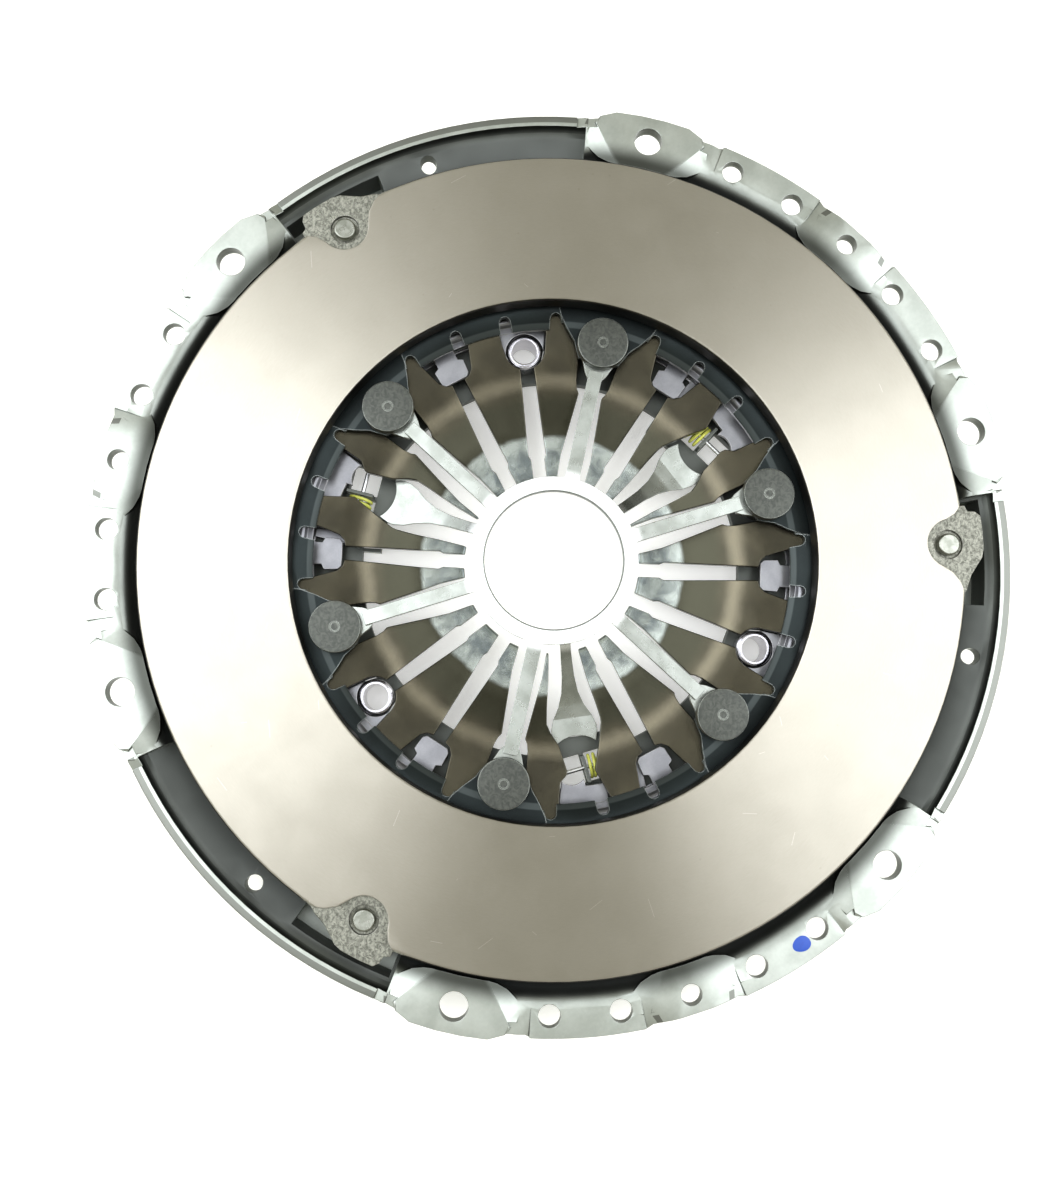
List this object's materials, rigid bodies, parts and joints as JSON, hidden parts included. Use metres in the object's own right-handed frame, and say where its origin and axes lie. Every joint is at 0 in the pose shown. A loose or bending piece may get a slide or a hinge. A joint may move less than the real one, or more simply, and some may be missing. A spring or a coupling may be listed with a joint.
{
  "type": "clutch cover assembly",
  "caption": "Self-adjusting diaphragm clutch cover: holed flange, ground pressure plate on leaf springs, slotted finger spring, support star and ramp wear adjuster.",
  "frame": {"origin": "centre of the flange's bolt circle, in the plane of its bolting face", "axes": "+Z along the clutch axis towards the flywheel, so the friction face looks along +Z; +X runs through the middle of one of the three flange segments"},
  "size_m": [0.2704, 0.2748, 0.0292],
  "materials": {
    "cover_steel": "bright pickled pressed steel",
    "plate_iron": "ground friction face, rough cast lugs",
    "rivet_steel": "plain",
    "peened_spring": "peened and oiled, bronze brown, bright hardened tips",
    "dark_spring": "dark phosphate and oil",
    "star_steel": "bright rolled sheet",
    "bolt_phosphate": "grey-green phosphate",
    "adjuster_steel": "lavender grey",
    "bush_steel": "bright turned",
    "spring_paint": "yellow-green marking paint",
    "rod_steel": "drawn wire",
    "leaf_steel": "blued strip steel"
  },
  "bodies": {
    "cover_body": {"cover": "cover_steel", "diaphragm_spring": "peened_spring", "sensor_spring": "dark_spring", "support_star": "star_steel", "spacer_bolts": "bolt_phosphate", "sight_bushes": "bush_steel", "cover_rivets": "rivet_steel", "seat_washers": "rivet_steel", "adjuster_spring_1": "spring_paint", "adjuster_spring_2": "spring_paint", "adjuster_spring_3": "spring_paint", "guide_rod_1": "rod_steel", "guide_rod_2": "rod_steel", "guide_rod_3": "rod_steel", "leaf_pack_1": "leaf_steel", "leaf_pack_2": "leaf_steel", "leaf_pack_3": "leaf_steel"},
    "plate_body": {"pressure_plate": "plate_iron", "lug_rivets": "rivet_steel"},
    "adjuster_body": {"adjuster_ring": "adjuster_steel"},
    "pivot_body": {"pivot_ring": "adjuster_steel"}
  },
  "joints": [
    {"name": "plate_lift", "type": "slide", "parent": "cover_body", "child": "plate_body", "axis": [0, 0, 1], "range_m": [-0.0018, 0], "stiffness_N_per_m": 100000, "deforming": ["leaf_pack_1", "leaf_pack_2", "leaf_pack_3", "diaphragm_spring"]},
    {"name": "wear_turn", "type": "hinge", "parent": "cover_body", "child": "adjuster_body", "pos_m": [0, 0, -0.0204], "axis": [0, 0, 1], "range_deg": [0, 11.5], "deforming": ["adjuster_spring_1", "adjuster_spring_2", "adjuster_spring_3"]},
    {"name": "wear_rise", "type": "slide", "parent": "cover_body", "child": "pivot_body", "axis": [0, 0, 1], "range_m": [0, 0.0015], "deforming": ["diaphragm_spring", "sensor_spring"]}
  ],
  "couplings": [
    {"joint": "wear_rise", "follows": "wear_turn", "m_per_rad": 0.007443}
  ]
}
